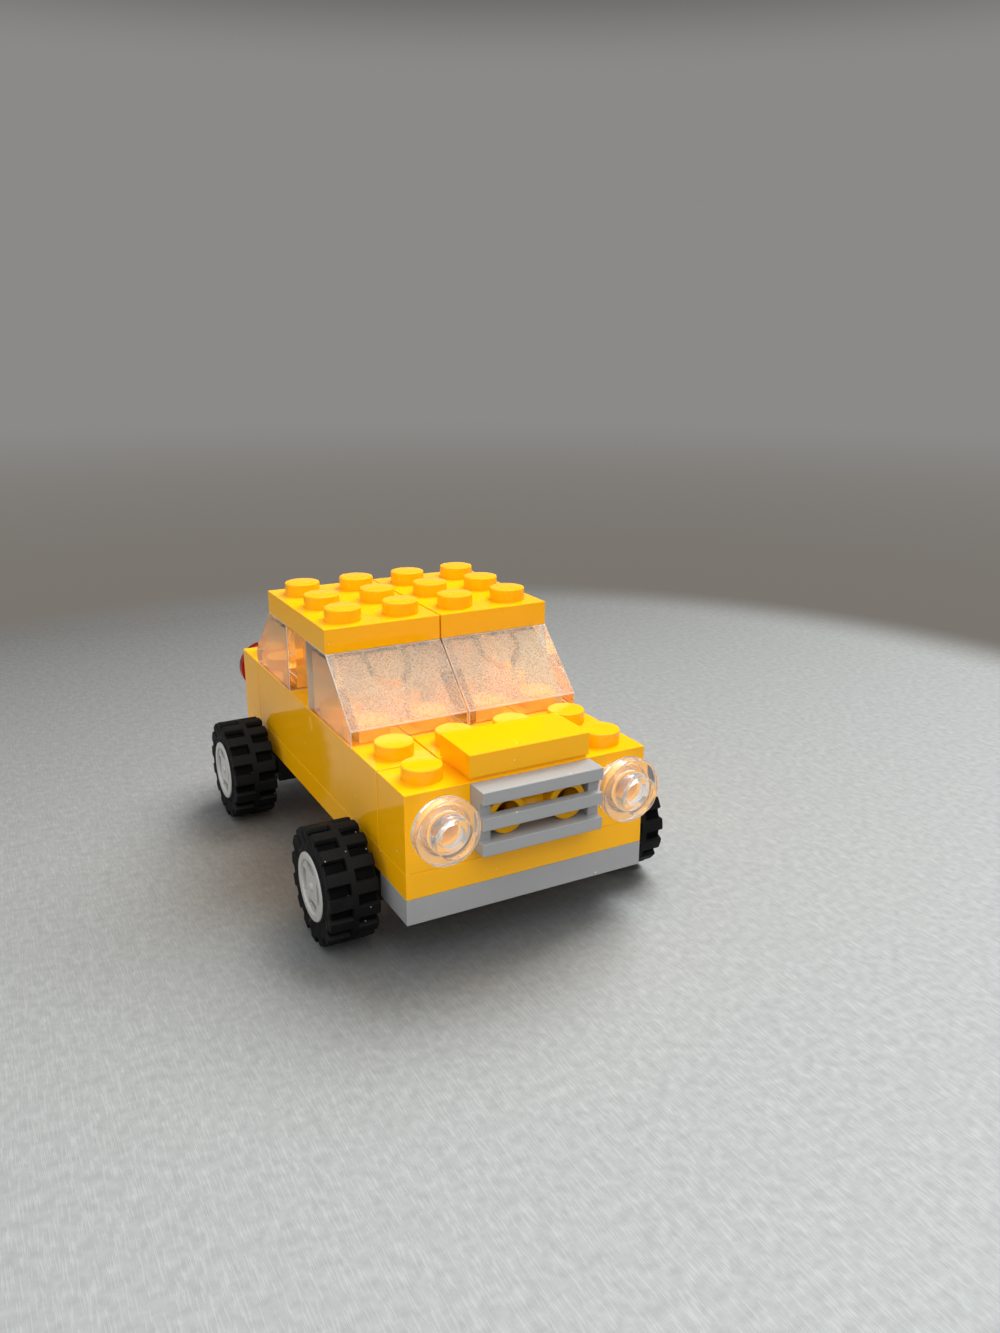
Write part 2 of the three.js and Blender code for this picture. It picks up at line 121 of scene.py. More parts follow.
def softened(outline, radius, steps=4):
    """An open outline with each inner corner drawn as a small curve."""
    points = [Vector(p) for p in outline]
    soft = [points[0]]
    for before, corner, after in zip(points, points[1:], points[2:]):
        reach = min(radius, (before - corner).length / 2, (after - corner).length / 2)
        start = corner + (before - corner).normalized() * reach
        end = corner + (after - corner).normalized() * reach
        for step in range(steps + 1):
            t = step / steps
            soft.append(start * (1 - t) ** 2 + corner * 2 * t * (1 - t) + end * t ** 2)
    return [*soft, points[-1]]


def turned(outline, facets, place):
    """A form turned about Z from (radius, height) points that start and end on the axis, put in place."""
    form = bmesh.new()
    rings = []
    for radius, height in outline:
        if radius < ON_AXIS:
            rings.append([form.verts.new((0, 0, height))])
            continue
        turns = [2 * math.pi * k / facets for k in range(facets)]
        rings.append([form.verts.new((radius * math.cos(a), radius * math.sin(a), height)) for a in turns])
    for lower, upper in zip(rings, rings[1:]):
        for k in range(facets):
            corners = [lower[k % len(lower)], lower[(k + 1) % len(lower)],
                       upper[(k + 1) % len(upper)], upper[k % len(upper)]]
            form.faces.new(dict.fromkeys(corners))
    form.transform(place)
    return to_mesh(form)


def gathered(meshes):
    """Separate meshes side by side in one."""
    form = bmesh.new()
    for mesh in meshes:
        form.from_mesh(mesh)
    made = bpy.data.meshes.new("gathered")
    form.to_mesh(made)
    form.free()
    return made


def fused(body, *steps):
    """One closed skin from a body and steps of (operation, meshes) that join to it or cut it."""
    base = bpy.data.objects.new("base", body)
    bpy.context.scene.collection.objects.link(base)
    tools = []
    for operation, meshes in steps:
        tool = bpy.data.objects.new("tool", gathered(meshes))
        bpy.context.scene.collection.objects.link(tool)
        step = base.modifiers.new(operation, "BOOLEAN")
        step.operation = operation
        step.solver = "EXACT"
        step.object = tool
        tools.append(tool)
    made = bpy.data.meshes.new_from_object(base.evaluated_get(bpy.context.evaluated_depsgraph_get()))
    for helper in [base, *tools]:
        bpy.data.objects.remove(helper)
    return made


def stud(place, root=ROOT):
    """A solid stud that stands on the XY plane before it is put in place."""
    rim = softened([(STUD_R, -root), (STUD_R, STUD_H), (0, STUD_H)], STUD_ROUNDING)
    return turned([(0, -root), *rim], STUD_FACETS, place)


def cells(low, high, columns, rows):
    """Middles of the stud cells on a piece, seen from above."""
    middle = (low + high) / 2
    across = [middle.x + (c - (columns - 1) / 2) * PITCH for c in range(columns)]
    along = [middle.y + (r - (rows - 1) / 2) * PITCH for r in range(rows)]
    return [(x, y) for x in across for y in along]


def grips(low, high, columns, rows):
    """Tubes where four studs meet, or thin posts in a piece one stud wide, from the rim to the ceiling."""
    inner = cells(low, high, max(columns - 1, 1), max(rows - 1, 1))
    top = high.z - CEILING
    made = []
    for x, y in inner:
        place = Matrix.Translation((x, y, 0))
        if columns > 1 and rows > 1:
            tube = [(TUBE_BORE_R, top), (TUBE_BORE_R, low.z), (TUBE_R, low.z), (TUBE_R, top + ROOT)]
            made.append(turned([(0, top), *tube, (0, top + ROOT)], GRIP_FACETS, place))
        else:
            post = [(0, low.z), (POST_R, low.z), (POST_R, top + ROOT), (0, top + ROOT)]
            made.append(turned(post, GRIP_FACETS, place))
    return made


def hollow(low, high):
    """The open inside of a plate or brick."""
    inset = Vector((WALL, WALL, 0))
    return rounded_box(low + inset - Vector((0, 0, OVERCUT)), high - inset - Vector((0, 0, CEILING)), 0)


def studs_on(low, high, columns, rows):
    """A stud on every cell of a piece's upper face."""
    return [stud(Matrix.Translation((x, y, high.z))) for x, y in cells(low, high, columns, rows)]


def studded(low, high, columns, rows):
    """A plate or brick between two corners, its studs standing above the upper one."""
    return fused(
        rounded_box(low, high),
        ("UNION", studs_on(low, high, columns, rows)),
        ("DIFFERENCE", [hollow(low, high)]),
        ("UNION", grips(low, high, columns, rows)),
    )


def under_studs(node):
    """A node's box up to the face that its studs stand on."""
    low, high = node_box(node)
    return low, high - Vector((0, 0, STUD_H))


def show(node, mesh, *finishes):
    """Shows a mesh in place of a CAD node, on the node's body, with the given finishes."""
    mesh.transform(Matrix.Scale(MM, 4))
    form = bmesh.new()
    form.from_mesh(mesh)
    for edge in form.edges:
        edge.smooth = edge.calc_face_angle(0) < SHARP
    for face in form.faces:
        face.smooth = True
    form.to_mesh(mesh)
    form.free()
    for finish in finishes:
        mesh.materials.append(finish)
    piece = bpy.data.objects.new("moulded_" + node, mesh)
    car.objects.link(piece)
    even = piece.modifiers.new("flat faces stay flat", "WEIGHTED_NORMAL")
    even.keep_sharp = True
    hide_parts(node)
    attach(piece, body_of[node])
    return piece


def linear(code):
    """An sRGB hex colour as the linear values that a shader takes."""
    channels = [int(code[i:i + 2], 16) / 255 for i in (1, 3, 5)]
    return [*[c / 12.92 if c <= 0.04045 else ((c + 0.055) / 1.055) ** 2.4 for c in channels], 1]


def per_mm(size):
    """The scale at which a pattern's cells are this many millimetres wide."""
    return 1 / (size * MM)


def add(tree, kind, inputs=None, **settings):
    """Adds a node with its settings, and its inputs as values or links."""
    made = tree.nodes.new("ShaderNode" + kind)
    for name, value in settings.items():
        setattr(made, name, value)
    for socket, value in (inputs or {}).items():
        if isinstance(value, bpy.types.NodeSocket):
            tree.links.new(value, made.inputs[socket])
        else:
            made.inputs[socket].default_value = value
    return made


def new_material(name):
    """An empty material and its tree of nodes."""
    material = bpy.data.materials.new(name)
    material.use_nodes = True
    material.node_tree.nodes.clear()
    return material, material.node_tree


def specks(tree, place, spacing, radius):
    """1 on sparse grains of dust, 0 between them."""
    grain = add(tree, "TexVoronoi", {"Vector": place, "Scale": per_mm(spacing)})
    return add(tree, "MapRange", {
        "Value": grain.outputs["Distance"], "From Min": radius / spacing,
        "From Max": DUST_CORE * radius / spacing, "To Min": 0, "To Max": 1,
    }).outputs["Result"]


def hairlines(tree, place, turn, width, length, sparse=SCRATCH_SPARSE):
    """1 on fine lines that run one way, in patches; the sparser, the nearer to 1."""
    line = add(tree, "Mapping", {
        "Vector": place, "Rotation": turn, "Scale": (per_mm(width), per_mm(length), per_mm(length)),
    })
    streak = add(tree, "TexNoise", {"Vector": line.outputs["Vector"], "Scale": 1, "Detail": 1})
    return add(tree, "MapRange", {
        "Value": streak.outputs["Fac"], "From Min": sparse, "From Max": sparse + SCRATCH_FADE,
        "To Min": 0, "To Max": 1,
    }).outputs["Result"]


def moulded_abs(name, colour, shade, dust, roughness):
    """Injection-moulded ABS: even colour, mirror gloss a little wavy from sink marks, hairlines and dust."""
    material, tree = new_material(name)
    place = add(tree, "TexCoord").outputs["Object"]
    flow = add(tree, "TexNoise", {"Vector": place, "Scale": per_mm(FLOW_PATCH), "Detail": 2})
    tint = add(tree, "MixRGB", {
        "Fac": flow.outputs["Fac"], "Color1": linear(shade), "Color2": linear(colour),
    })
    dusty = specks(tree, place, DUST_SPACING, DUST_R)
    tint = add(tree, "MixRGB", {"Fac": dusty, "Color1": tint.outputs["Color"], "Color2": linear(dust)})
    lines = [hairlines(tree, place, turn, SCRATCH_W, length) for turn, length in SCRATCH_SETS]
    scratch = add(tree, "Math", {0: lines[0], 1: lines[1]}, operation="MAXIMUM")
    worn = add(tree, "Math", {0: scratch.outputs[0], 1: dusty}, operation="MAXIMUM")
    gloss = add(tree, "MapRange", {
        "Value": worn.outputs[0], "From Min": 0, "From Max": 1,
        "To Min": roughness, "To Max": roughness + WORN,
    })
    sink = add(tree, "TexNoise", {"Vector": place, "Scale": per_mm(SINK_PATCH), "Detail": 1})
    wave = add(tree, "Bump", {"Height": sink.outputs["Fac"], "Distance": SINK_D * MM, "Strength": 1})
    relief = add(tree, "Bump", {
        "Height": scratch.outputs[0], "Distance": -SCRATCH_D * MM, "Strength": 1,
        "Normal": wave.outputs["Normal"],
    })
    plastic = add(tree, "BsdfPrincipled", {
        "Base Color": tint.outputs["Color"], "Roughness": gloss.outputs["Result"],
        "Normal": relief.outputs["Normal"], "IOR": ABS_IOR, "Specular IOR Level": ABS_SHEEN,
    })
    add(tree, "OutputMaterial", {"Surface": plastic.outputs["BSDF"]})
    return material


grey_abs = moulded_abs("light grey ABS, moulded", colour="#9fa0a0", shade="#999a9a", dust="#e6e6e2",
                       roughness=0.16)
for node in ("front_bumper_plate", "rear_bumper_plate"):
    show(node, studded(*under_studs(node), CAR_WIDTH_STUDS, 1), grey_abs)

# Axle plates
# Black plates, one stud deep, that carry the wheels. The end cells are solid and a round pin with a click
# ring is moulded onto each, so plate and pins are one piece of black ABS.

AXLE_END_STUDS = 1
PIN_R = 1.55
PIN_RING_R = 1.7
PIN_RING_L = 0.8
COLLAR_R = 2.0
COLLAR_L = 0.85
PIN_ROUNDING = 0.15
PIN_FACETS = 40

black_abs = moulded_abs("black ABS, moulded", colour="#1b1c1e", shade="#161718", dust="#6f706e",
                        roughness=0.22)
half = node_box("front_bumper_plate")[1].x  # without their pins the plates are as wide as the bumpers
for node, joint in (("front_axle_plate", "front_right_roll"), ("rear_axle_plate", "rear_right_roll")):
    low, high = under_studs(node)
    tip = high.x
    axle = Vector([hinge["pos_m"] for hinge in frame["joints"] if hinge["name"] == joint][0]) / MM
    low.x, high.x = -half, half
    inner_low = Vector((-half + AXLE_END_STUDS * PITCH, low.y, low.z))
    inner_high = Vector((half - AXLE_END_STUDS * PITCH, high.y, high.z))
    pin_outline = [(COLLAR_R, half - ROOT), (COLLAR_R, half + COLLAR_L), (PIN_R, half + COLLAR_L),
                   (PIN_R, tip - PIN_RING_L), (PIN_RING_R, tip - PIN_RING_L / 2), (PIN_R, tip), (0, tip)]
    pins = []
    for quarter in (90, -90):
        turn = Matrix.Translation((0, axle.y, axle.z)) @ Matrix.Rotation(math.radians(quarter), 4, "Y")
        pins.append(turned([(0, half - ROOT), *softened(pin_outline, PIN_ROUNDING)], PIN_FACETS, turn))
    inner_studs = CAR_WIDTH_STUDS - 2 * AXLE_END_STUDS
    plate = fused(
        rounded_box(low, high),
        ("UNION", studs_on(low, high, CAR_WIDTH_STUDS, 1)),
        ("DIFFERENCE", [hollow(inner_low, inner_high)]),
        ("UNION", grips(inner_low, inner_high, inner_studs, 1)),
        ("UNION", pins),
    )
    show(node, plate, black_abs)

# Base plate
# The floor of the car, a yellow plate of four by eight studs, moulded in ABS. Everything else is pushed
# onto its studs from above or held in its hollow underside from below.

CAR_LENGTH_STUDS = 8

yellow_abs = moulded_abs("bright yellow ABS, moulded", colour="#fcb708", shade="#fab004", dust="#ffe9b0",
                         roughness=0.1)
show("base_plate", studded(*under_studs("base_plate"), CAR_WIDTH_STUDS, CAR_LENGTH_STUDS), yellow_abs)

# Light bricks
# Yellow bricks, one stud deep, at the front and the back. Four hollow studs stand out of the outer wall and
# carry the lights and the grille; their bores run through the wall. One moulding in ABS.

SIDE_STUD_DROP = 4.0  # from the brick's top face to the middle of its side studs
SIDE_BORE_R = 1.6
BORE_MOUTH = 0.12  # rounding at the mouth of a bore
BORE_FLARE_R = 1.0  # past the stud's top the bore's cutter widens by this much
BORE_FLARE_H = 0.6

for node, outward in (("front_light_brick", -1), ("rear_light_brick", 1)):
    low, high = under_studs(node)
    if outward < 0:
        low.y += STUD_H
    else:
        high.y -= STUD_H
    face = low.y if outward < 0 else high.y
    side_studs = []
    bores = []
    for x, _ in cells(low, high, CAR_WIDTH_STUDS, 1):
        place = Matrix.Translation((x, face, high.z - SIDE_STUD_DROP))
        place = place @ Matrix.Rotation(math.radians(-90 * outward), 4, "X")
        side_studs.append(stud(place))
        flare = (SIDE_BORE_R + BORE_FLARE_R, STUD_H + BORE_FLARE_H)
        mouth = softened([(SIDE_BORE_R, -WALL - ROOT), (SIDE_BORE_R, STUD_H), flare], BORE_MOUTH)
        bores.append(turned([(0, -WALL - ROOT), *mouth, (0, flare[1])], STUD_FACETS, place))
    brick = fused(
        rounded_box(low, high),
        ("UNION", studs_on(low, high, CAR_WIDTH_STUDS, 1) + side_studs),
        ("DIFFERENCE", [hollow(low, high)]),
        ("UNION", grips(low, high, CAR_WIDTH_STUDS, 1)),
        ("DIFFERENCE", bores),
    )
    show(node, brick, yellow_abs)

# Side and centre bricks
# Yellow bricks six studs long that make the car's sides and fill its middle: moulded ABS, hollow below,
# with posts or tubes that grip the studs of the base plate.

BODY_ROWS = 6
for node, columns in (("right_side_brick", 1), ("left_side_brick", 1), ("centre_brick", 2)):
    show(node, studded(*under_studs(node), columns, BODY_ROWS), yellow_abs)

# Bonnet tile
# A smooth yellow tile on the two middle studs of the bonnet. A shallow groove runs round its foot, so that
# it can be lifted off with a fingernail. Moulded ABS, and flat on top, where the light shows it brightest.

TILE_STUDS = 2
GROOVE_H = 0.4
GROOVE_D = 0.25

low, high = node_box("bonnet_tile")
inset = Vector((GROOVE_D, GROOVE_D, 0))
foot_top = Vector((high.x, high.y, low.z + GROOVE_H + ROOT)) - inset
tile = fused(
    rounded_box(low + Vector((0, 0, GROOVE_H)), high),
    ("UNION", [rounded_box(low + inset, foot_top, 0)]),
    ("DIFFERENCE", [hollow(low, high)]),
    ("UNION", grips(low, high, TILE_STUDS, 1)),
)
show("bonnet_tile", tile, yellow_abs)

# Grille
# A light grey slotted tile pushed onto the two middle side studs. Three long bars stand on two end walls,
# which lie further back, and the hollow studs show through the slots. Moulded ABS.

BARS = 3
END_RECESS = 1.0
MIDDLE_BAR_D = 1.3
BAR_EDGE = 0.12
FLUSH = 0.015  # end walls lie this far inside the bars' ends, too little to see

low, high = node_box("grille_tile")
bar_h = (high.z - low.z) / (2 * BARS - 1)
bars = []
for bar in range(BARS):
    z = low.z + 2 * bar * bar_h
    back = low.y + MIDDLE_BAR_D if 0 < bar < BARS - 1 else high.y
    bars.append(rounded_box((low.x, low.y, z), (high.x, back, z + bar_h), BAR_EDGE))
ends = []
for outer, inner in ((low.x + FLUSH, low.x + WALL), (high.x - WALL, high.x - FLUSH)):
    end_low = (outer, low.y + END_RECESS, low.z + FLUSH)
    end_high = (inner, high.y - FLUSH, high.z - FLUSH)
    ends.append(rounded_box(end_low, end_high, 0))
show("grille_tile", fused(gathered(bars), ("UNION", ends)), grey_abs)

# Headlights and tail lights
# Round plates one stud across, pushed onto the outer side studs: clear ones in front and clear red ones
# behind. Moulded polycarbonate with a polished surface, so edges and inner faces gleam as rings.

LAMP_FOOT_R = 2.95
LAMP_FOOT_H = 1.6
LAMP_RIM_R = 3.95
LAMP_H = 3.2
LAMP_BORE_R = 1.5
LAMP_BORE_ROOF = 1.0
SOCKET_R = 2.45
SOCKET_H = 2.2
LAMP_EDGE = 0.2
LAMP_FACETS = 72
CLEAR_IOR = 1.45  # under polycarbonate's 1.58, so that more of the inside shows
POLISH = 0.02  # roughness of a polished surface
MELT_PATCH = 3.0  # faint marks where the melt flowed
MELT_D = 0.01
CLEAR_SCRATCH_TURN = (0.3, 0.9, 0.4)
CLEAR_SCRATCH_W = 0.1  # wider than real hairlines, so that they show
CLEAR_SCRATCH_L = 3.0
CLEAR_WORN = 0.18  # how much rougher a scratch is


def polished_polycarbonate(name, colour, shade, clarity, roughness=POLISH):
    """Clear moulded polycarbonate with faint flow marks and hairlines; less clarity makes it milky."""
    material, tree = new_material(name)
    place = add(tree, "TexCoord").outputs["Object"]
    flow = add(tree, "TexNoise", {"Vector": place, "Scale": per_mm(MELT_PATCH), "Detail": 2})
    tint = add(tree, "MixRGB", {
        "Fac": flow.outputs["Fac"], "Color1": linear(shade), "Color2": linear(colour),
    })
    scratch = hairlines(tree, place, CLEAR_SCRATCH_TURN, CLEAR_SCRATCH_W, CLEAR_SCRATCH_L)
    gloss = add(tree, "MapRange", {
        "Value": scratch, "From Min": 0, "From Max": 1,
        "To Min": roughness, "To Max": roughness + CLEAR_WORN,
    })
    marks = add(tree, "Bump", {"Height": flow.outputs["Fac"], "Distance": MELT_D * MM, "Strength": 1})
    plastic = add(tree, "BsdfPrincipled", {
        "Base Color": tint.outputs["Color"], "Roughness": gloss.outputs["Result"],
        "Normal": marks.outputs["Normal"], "IOR": CLEAR_IOR, "Transmission Weight": clarity,
    })
    add(tree, "OutputMaterial", {"Surface": plastic.outputs["BSDF"]})
    return material


clear_lens = polished_polycarbonate("clear polycarbonate, lens", colour="#ffffff", shade="#fff8f0",
                                    clarity=0.91)
red_polished = polished_polycarbonate("clear red polycarbonate, polished", colour="#d4180e",
                                      shade="#b8120a", clarity=0.85)
bore_top = LAMP_H + STUD_H - LAMP_BORE_ROOF
lamp_outline = [
    (LAMP_BORE_R, bore_top), (LAMP_BORE_R, SOCKET_H), (SOCKET_R, SOCKET_H), (SOCKET_R, 0), (LAMP_FOOT_R, 0),
    (LAMP_FOOT_R, LAMP_FOOT_H), (LAMP_RIM_R, LAMP_FOOT_H), (LAMP_RIM_R, LAMP_H), (STUD_R, LAMP_H),
    (STUD_R, LAMP_H + STUD_H), (0, LAMP_H + STUD_H),
]
lamp_outline = [(0, bore_top), *softened(lamp_outline, LAMP_EDGE)]
for node, outward, finish in (("right_headlight", -1, clear_lens), ("left_headlight", -1, clear_lens),
                              ("right_tail_light", 1, red_polished), ("left_tail_light", 1, red_polished)):
    low, high = node_box(node)
    middle = (low + high) / 2
    seat = high.y if outward < 0 else low.y
    facing = Matrix.Rotation(math.radians(-90 * outward), 4, "X")
    place = Matrix.Translation((middle.x, seat, middle.z)) @ facing
    show(node, turned(lamp_outline, LAMP_FACETS, place), finish).visible_shadow = False

# Windscreens and rear windows
# Clear sloped bricks, two by two studs, in pairs that face the front and the back. Moulded polycarbonate:
# polished outside, finely etched on the sloping face, satin inside and on the tube under the middle.

LIP_H = 2.0
SLOPE_EDGE = 0.13
OVER_STUDS = 1.75  # the inside clears the studs below by a little
TUBE_TRIM = 0.6  # the tube is sunk this far into the sloping wall
GRAIN = 0.16  # coarser than the real etching, so that it shows
# Grains above a random level are painted pale: painted glints.
GRAIN_DULL = 0.3  # of a grain's random level, up to which it is dull
GRAIN_PAINTED_GLINT = 0.7  # of that level, from which it is pale
ETCHED_ROUGHNESS = 0.1
SATIN_ROUGHNESS = 0.05
SAME_WAY = 0.999  # least cosine between faces that point the same way
IN_PLANE = 0.01  # a face this near to a plane lies in it
# Finishes of a window in the order that show gets them. Rounded edges get a milky white finish, a painted
# gleam, and the upright backs of the windscreens share that finish, painted lighter, because a clear one
# renders too dark.
POLISHED, ETCHED, MILKY_PAINTED_LIGHT, SATIN = range(4)


def slope_form(half_width, outline, edge):
    """An outline in (y, z) drawn out along X to both sides."""
    form = bmesh.new()
    ends = [[form.verts.new((x, y, z)) for y, z in outline] for x in (-half_width, half_width)]
    form.faces.new(ends[0])
    form.faces.new(reversed(ends[1]))
    count = len(outline)
    for k in range(count):
        form.faces.new((ends[0][k], ends[0][(k + 1) % count], ends[1][(k + 1) % count], ends[1][k]))
    if edge:
        rounding = bmesh.ops.bevel(form, geom=form.edges[:], offset=edge, segments=EDGE_STEPS, profile=0.5,
                                   affect="EDGES")
        # the rounded edges take the milky white finish: a painted gleam along them
        for face in rounding["faces"]:
            face.material_index = MILKY_PAINTED_LIGHT
    return to_mesh(form)


def clear_slope(half_width, half_depth, height, back):
    """A slope that faces -Y, its underside on z = 0; back is the finish of its upright back."""
    rise = (height - LIP_H) / half_depth

    def outline(lower):
        return [(-half_depth, 0), (half_depth, 0), (half_depth, height - lower), (0, height - lower),
                (-half_depth, LIP_H - lower)]

    inside = -half_depth + WALL
    ceiling = height - CEILING
    inside_crest = inside + (ceiling - OVER_STUDS) / rise
    cavity = [(inside, -OVERCUT), (half_depth - WALL, -OVERCUT), (half_depth - WALL, ceiling),
              (inside_crest, ceiling), (inside, OVER_STUDS)]
    inner_room = slope_form(half_width - WALL, cavity, 0)
    bored = [(TUBE_BORE_R, height), (TUBE_BORE_R, 0), (TUBE_R, 0), (TUBE_R, height)]
    tube = turned([*bored, bored[0]], GRIP_FACETS * 2, Matrix.Identity(4))
    tube = fused(tube, ("INTERSECT", [slope_form(half_width, outline(TUBE_TRIM), 0)]))
    for face in [*inner_room.polygons, *tube.polygons]:
        face.material_index = SATIN
    top_studs = [stud(Matrix.Translation((x, PITCH / 2, height))) for x in (-PITCH / 2, PITCH / 2)]
    made = fused(
        slope_form(half_width, outline(0), SLOPE_EDGE),
        ("DIFFERENCE", [inner_room]),
        ("UNION", [tube]),
        ("UNION", top_studs),
    )
    tilt = Vector((0, -rise, 1)).normalized()
    level = tilt.dot((0, -half_depth, LIP_H))
    for face in made.polygons:
        if face.normal.dot(tilt) > SAME_WAY and abs(tilt.dot(face.center) - level) < IN_PLANE:
            face.material_index = ETCHED
        if face.normal.y > SAME_WAY and abs(face.center.y - half_depth) < IN_PLANE:
            face.material_index = back
    return made


def etched_polycarbonate(name, colour, shade, clarity):
    """Clear polycarbonate from a spark-etched mould: hazy, with fine grains painted pale as glints or left
    dull.
    """
    material, tree = new_material(name)
    place = add(tree, "TexCoord").outputs["Object"]
    grains = add(tree, "TexVoronoi", {"Vector": place, "Scale": per_mm(GRAIN)})
    level = add(tree, "SeparateXYZ", {"Vector": grains.outputs["Color"]})
    # painted glints: the grains above the level get the pale colour
    painted_glint = add(tree, "MapRange", {
        "Value": level.outputs["X"], "From Min": GRAIN_DULL, "From Max": GRAIN_PAINTED_GLINT, "To Min": 0, "To Max": 1,
    })
    tint = add(tree, "MixRGB", {
        "Fac": painted_glint.outputs["Result"], "Color1": linear(shade), "Color2": linear(colour),
    })
    plastic = add(tree, "BsdfPrincipled", {
        "Base Color": tint.outputs["Color"], "Roughness": ETCHED_ROUGHNESS, "IOR": CLEAR_IOR,
        "Transmission Weight": clarity,
    })
    add(tree, "OutputMaterial", {"Surface": plastic.outputs["BSDF"]})
    return material


# The warm golden tints of these clear finishes are painted light: the warm glow of the yellow car around and
# under them.
clear_polished = polished_polycarbonate("clear polycarbonate, polished", colour="#fff0cc", shade="#ffe6b4",
                                        clarity=0.95)
# A milky white finish for rounded edges: a painted gleam.
clear_edge_painted_gleam = polished_polycarbonate("clear polycarbonate, rounded edge with painted gleam", colour="#ffffff", shade="#fff6ec",
                                    clarity=0.62)
clear_etched = etched_polycarbonate("clear polycarbonate, spark-etched", colour="#f8e9d5", shade="#e7d0b3",
                                    clarity=0.7)
clear_inside = polished_polycarbonate("clear polycarbonate, satin inside", colour="#f9e6c6", shade="#f2d8b0",
                                      clarity=0.88, roughness=SATIN_ROUGHNESS)
# the windscreens' upright backs take the milky finish, painted lighter
for node, turn, back in (("right_windscreen", 0, MILKY_PAINTED_LIGHT), ("left_windscreen", 0, MILKY_PAINTED_LIGHT),
                         ("right_rear_window", 180, POLISHED), ("left_rear_window", 180, POLISHED)):
    low, high = under_studs(node)
    middle = (low + high) / 2
    window = clear_slope((high.x - low.x) / 2, (high.y - low.y) / 2, high.z - low.z, back)
    facing = Matrix.Rotation(math.radians(turn), 4, "Z")
    window.transform(Matrix.Translation((middle.x, middle.y, low.z)) @ facing)
    show(node, window, clear_polished, clear_etched, clear_edge_painted_gleam, clear_inside).visible_shadow = False

# Roof plates
# Two yellow plates, two by three studs, side by side over the windows: moulded ABS, with a fine seam
# between them along the middle of the car.

ROOF_COLUMNS = 2
ROOF_ROWS = 3
for node in ("right_roof_plate", "left_roof_plate"):
    show(node, studded(*under_studs(node), ROOF_COLUMNS, ROOF_ROWS), yellow_abs)

# Wheel hubs
# Light grey hubs that click onto the axle pins. A proud rim stands round a web with four slots and a gate
# mark in its middle. Moulded ABS with a satin surface.

RIM_R = 4.23
FLANGE_T = 0.7
RIM_WALL = 0.9
BARREL_R = 3.8
WEB_T = 0.9
SLOT_WEB_T = 0.4  # the web round its slots
WEB_RECESS = 0.25
BOSS_R = 2.28
BORE_R = 1.63
POCKET_R = 1.78
POCKET_L = 1.1
SLOTS = 4
SLOT_L = 2.8
SLOT_OUTER_R = 3.15
SLOT_W = 1.25
SLOT_EDGE = 0.2
DOT_R = 0.5
DOT_H = 0.2
HUB_EDGE = 0.16
HUB_FACETS = 96


def hub_form(width):
    """A hub along +Z, its outside face at the given width."""
    web_inner = width - WEB_RECESS - WEB_T
    web_face = width - WEB_RECESS
    thin_web = web_face - SLOT_WEB_T
    rim_inner = RIM_R - RIM_WALL
    outline = [
        (POCKET_R, web_inner), (POCKET_R, web_inner - POCKET_L), (BORE_R, web_inner - POCKET_L), (BORE_R, 0),
        (BOSS_R, 0), (BOSS_R, thin_web), (rim_inner, thin_web), (rim_inner, 0), (RIM_R, 0), (RIM_R, FLANGE_T),
        (BARREL_R, FLANGE_T), (BARREL_R, width - FLANGE_T), (RIM_R, width - FLANGE_T), (RIM_R, width),
        (rim_inner, width), (rim_inner, web_face), (DOT_R, web_face), (DOT_R, web_face + DOT_H),
        (0, web_face + DOT_H),
    ]
    wheel = turned([(0, web_inner), *softened(outline, HUB_EDGE)], HUB_FACETS, Matrix.Identity(4))
    bottom = web_inner - ROOT
    top = width + OVERCUT
    slots = []
    for slot in range(SLOTS):
        block = rounded_box((SLOT_OUTER_R - SLOT_W, -SLOT_L / 2, bottom - SLOT_EDGE),
                            (SLOT_OUTER_R + OVERCUT, SLOT_L / 2, top + SLOT_EDGE), SLOT_EDGE)
        disc = turned([(0, bottom), (SLOT_OUTER_R, bottom), (SLOT_OUTER_R, top), (0, top)], HUB_FACETS,
                      Matrix.Identity(4))
        cutter = fused(block, ("INTERSECT", [disc]))
        cutter.transform(Matrix.Rotation(2 * math.pi * slot / SLOTS, 4, "Z"))
        slots.append(cutter)
    return fused(wheel, ("DIFFERENCE", slots))


wheels = ("front_right", "front_left", "rear_right", "rear_left")
hub_abs = moulded_abs("pale grey ABS, satin moulded", colour="#bcbbb7", shade="#b3b2ae", dust="#e6e5e1",
                      roughness=0.3)
for wheel in wheels:
    low, high = node_box(wheel + "_hub")
    middle = (low + high) / 2
    outside = 90 if middle.x > 0 else -90
    inner_face = low.x if middle.x > 0 else high.x
    hub = hub_form(high.x - low.x)
    hub.transform(Matrix.Translation((inner_face, middle.y, middle.z))
                  @ Matrix.Rotation(math.radians(outside), 4, "Y"))
    show(wheel + "_hub", hub, hub_abs)

# Tyres
# Black tyres stretched over the hubs. Two rows of square lugs, half a step apart, meet in a rib round the
# middle. Moulded rubber, matt, with lint and dust in the tread; the groove floors are painted darker, as
# painted shade.

